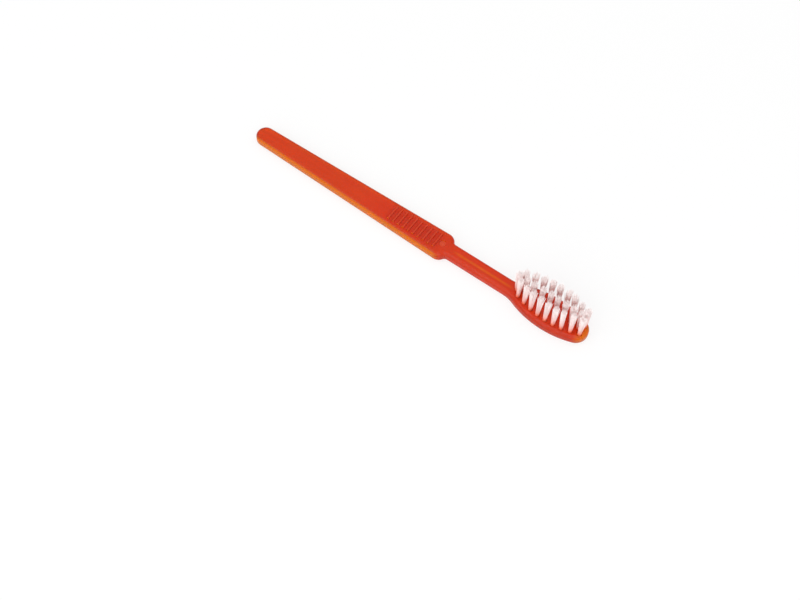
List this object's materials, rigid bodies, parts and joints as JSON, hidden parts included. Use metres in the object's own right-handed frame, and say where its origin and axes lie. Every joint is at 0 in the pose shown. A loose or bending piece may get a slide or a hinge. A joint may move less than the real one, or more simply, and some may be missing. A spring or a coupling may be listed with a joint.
{
  "type": "manual toothbrush",
  "caption": "Straight manual toothbrush: a translucent moulded handle with a ribbed grip, slim neck and oval head, set with upright nylon tufts that flat metal anchors hold.",
  "frame": {"origin": "under the middle of the brush's bounding box, on the flat back that it lies on", "axes": "+X along the handle from the butt to the tip of the head, +Z the way the bristles point, +Y across the head to the left"},
  "size_m": [0.16, 0.0144, 0.0166],
  "materials": {
    "handle_plastic": "glossy, translucent red-orange",
    "bristle_nylon": "satin, undyed nylon filament",
    "anchor_wire": "drawn flat wire"
  },
  "bodies": {
    "root": {"handle": "handle_plastic", "tuft_left_1": "bristle_nylon", "tuft_left_2": "bristle_nylon", "tuft_left_3": "bristle_nylon", "tuft_left_4": "bristle_nylon", "tuft_left_5": "bristle_nylon", "tuft_left_6": "bristle_nylon", "tuft_left_7": "bristle_nylon", "tuft_left_8": "bristle_nylon", "tuft_left_9": "bristle_nylon", "tuft_middle_1": "bristle_nylon", "tuft_middle_2": "bristle_nylon", "tuft_middle_3": "bristle_nylon", "tuft_middle_4": "bristle_nylon", "tuft_middle_5": "bristle_nylon", "tuft_middle_6": "bristle_nylon", "tuft_middle_7": "bristle_nylon", "tuft_middle_8": "bristle_nylon", "tuft_middle_9": "bristle_nylon", "tuft_right_1": "bristle_nylon", "tuft_right_2": "bristle_nylon", "tuft_right_3": "bristle_nylon", "tuft_right_4": "bristle_nylon", "tuft_right_5": "bristle_nylon", "tuft_right_6": "bristle_nylon", "tuft_right_7": "bristle_nylon", "tuft_right_8": "bristle_nylon", "tuft_right_9": "bristle_nylon", "anchor_left_1": "anchor_wire", "anchor_left_2": "anchor_wire", "anchor_left_3": "anchor_wire", "anchor_left_4": "anchor_wire", "anchor_left_5": "anchor_wire", "anchor_left_6": "anchor_wire", "anchor_left_7": "anchor_wire", "anchor_left_8": "anchor_wire", "anchor_left_9": "anchor_wire", "anchor_middle_1": "anchor_wire", "anchor_middle_2": "anchor_wire", "anchor_middle_3": "anchor_wire", "anchor_middle_4": "anchor_wire", "anchor_middle_5": "anchor_wire", "anchor_middle_6": "anchor_wire", "anchor_middle_7": "anchor_wire", "anchor_middle_8": "anchor_wire", "anchor_middle_9": "anchor_wire", "anchor_right_1": "anchor_wire", "anchor_right_2": "anchor_wire", "anchor_right_3": "anchor_wire", "anchor_right_4": "anchor_wire", "anchor_right_5": "anchor_wire", "anchor_right_6": "anchor_wire", "anchor_right_7": "anchor_wire", "anchor_right_8": "anchor_wire", "anchor_right_9": "anchor_wire"}
  },
  "joints": []
}
